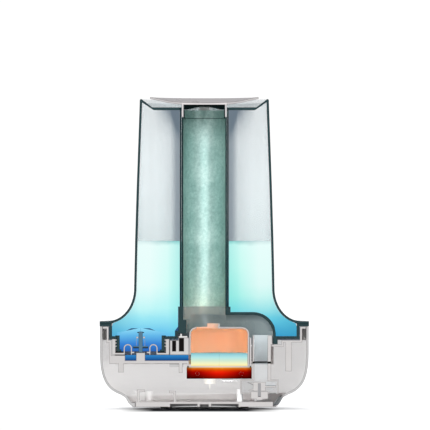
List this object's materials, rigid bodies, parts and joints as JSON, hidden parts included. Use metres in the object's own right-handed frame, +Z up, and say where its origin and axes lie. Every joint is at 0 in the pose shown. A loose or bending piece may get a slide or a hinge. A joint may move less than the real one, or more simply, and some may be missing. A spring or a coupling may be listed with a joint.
{
  "type": "cool mist humidifier",
  "caption": "Bell-shaped tower humidifier: a smoked water tank with a central flue and dished mist cap, on a round base that holds the tray, boiler, fan and controls.",
  "frame": {"origin": "on the floor under the axis of the flue, at the middle of the base's footprint", "axes": "+Z up along the flue, -Y towards the front with the controls, +X towards the fan and its air intake"},
  "size_m": [0.268, 0.268, 0.4001],
  "materials": {
    "housing": "satin light grey ABS",
    "tray": "light grey polypropylene",
    "duct": "light grey ABS",
    "grille": "mid grey ABS",
    "rubber": "black rubber",
    "foam": "black closed-cell foam",
    "seat": "white silicone",
    "steel": "bright zinc plated",
    "heater_plate": "cast aluminium, glowing",
    "heater_block": "cast aluminium, glowing",
    "element": "oxidised tube",
    "insulator": "mica board",
    "ceramic": "steatite and steel",
    "fuse": "satin",
    "hood": "warm white polypropylene",
    "motor": "black moulded",
    "impeller": "grey ABS",
    "lights": "translucent green",
    "board": "green solder mask",
    "knob": "dark grey satin",
    "button": "blue",
    "float": "white foam",
    "magnet": "ferrite",
    "tank": "smoked blue-green, translucent",
    "sleeve": "satin grey-green",
    "cap": "light grey polypropylene",
    "valve": "acetal",
    "clip": "black nylon",
    "mist_cap": "warm light grey"
  },
  "bodies": {
    "base": {"base_housing": "housing", "bottom_plate": "housing", "rubber_feet": "rubber", "bottom_screws": "steel", "water_tray": "tray", "tray_screws": "steel", "thermal_breaks": "foam", "chimney_seat": "seat", "boiler_gasket": "rubber", "heater_plate": "heater_plate", "heater_block": "heater_block", "heating_element": "element", "heater_insulator": "insulator", "heater_screws": "steel", "thermostat": "ceramic", "thermal_fuse": "fuse", "air_duct": "duct", "duct_gasket": "rubber", "fan_housing": "duct", "fan_motor": "motor", "fan_screws": "steel", "intake_grille": "grille", "control_bezel": "duct", "rotary_switch": "motor", "switch_block": "motor", "indicator_lights": "lights", "control_board": "board", "board_screws": "steel", "cord_gland": "housing", "reed_switch": "motor"},
    "tank": {"tank_shell": "tank", "tank_floor": "tank", "tank_neck": "tank", "mixing_dome": "tank", "flue_tube": "tank", "flue_sleeve": "sleeve", "sleeve_ring": "sleeve"},
    "mist_cap": {"mist_cap": "mist_cap"},
    "tank_cap": {"tank_cap": "cap", "cap_gasket": "rubber", "valve_spring": "steel"},
    "valve": {"valve_plunger": "valve", "valve_seal": "rubber", "valve_clip": "clip"},
    "hood": {"steam_hood": "hood"},
    "float": {"float": "float", "float_magnet": "magnet"},
    "fan": {"fan_impeller": "impeller", "fan_shaft": "steel"},
    "knob": {"mist_knob": "knob", "knob_shaft": "steel"},
    "button": {"power_button": "button"}
  },
  "joints": [
    {"name": "tank_lift", "type": "slide", "parent": "base", "child": "tank", "axis": [0, 0, 1], "range_m": [0, 0.08]},
    {"name": "mist_cap_lift", "type": "slide", "parent": "tank", "child": "mist_cap", "axis": [0, 0, 1], "range_m": [0, 0.03]},
    {"name": "tank_cap_turn", "type": "hinge", "parent": "tank", "child": "tank_cap", "pos_m": [-0.0815, 0, 0.08], "axis": [0, 0, 1], "range_deg": [-540, 0]},
    {"name": "valve_slide", "type": "slide", "parent": "tank_cap", "child": "valve", "axis": [0, 0, 1], "range_m": [-0.004, 0], "stiffness_N_per_m": 60, "springref_m": -0.006, "deforming": ["valve_spring"]},
    {"name": "hood_lift", "type": "slide", "parent": "base", "child": "hood", "axis": [0, 0, 1], "range_m": [0, 0.01]},
    {"name": "float_rise", "type": "slide", "parent": "base", "child": "float", "axis": [0, 0, 1], "range_m": [-0.004, 0.002]},
    {"name": "fan_spin", "type": "hinge", "parent": "base", "child": "fan", "pos_m": [0.0705, 0, 0.03], "axis": [0, 0, 1], "continuous": true},
    {"name": "knob_turn", "type": "hinge", "parent": "base", "child": "knob", "pos_m": [0, -0.1299, 0.0599], "axis": [0, -1, 0], "range_deg": [-120, 120]},
    {"name": "button_press", "type": "slide", "parent": "base", "child": "button", "axis": [0, 1, 0], "range_m": [0, 0.0015], "stiffness_N_per_m": 500, "springref_m": -0.001}
  ],
  "couplings": [
    {"joint": "valve_slide", "follows": "tank_lift", "ratio": -0.05}
  ]
}
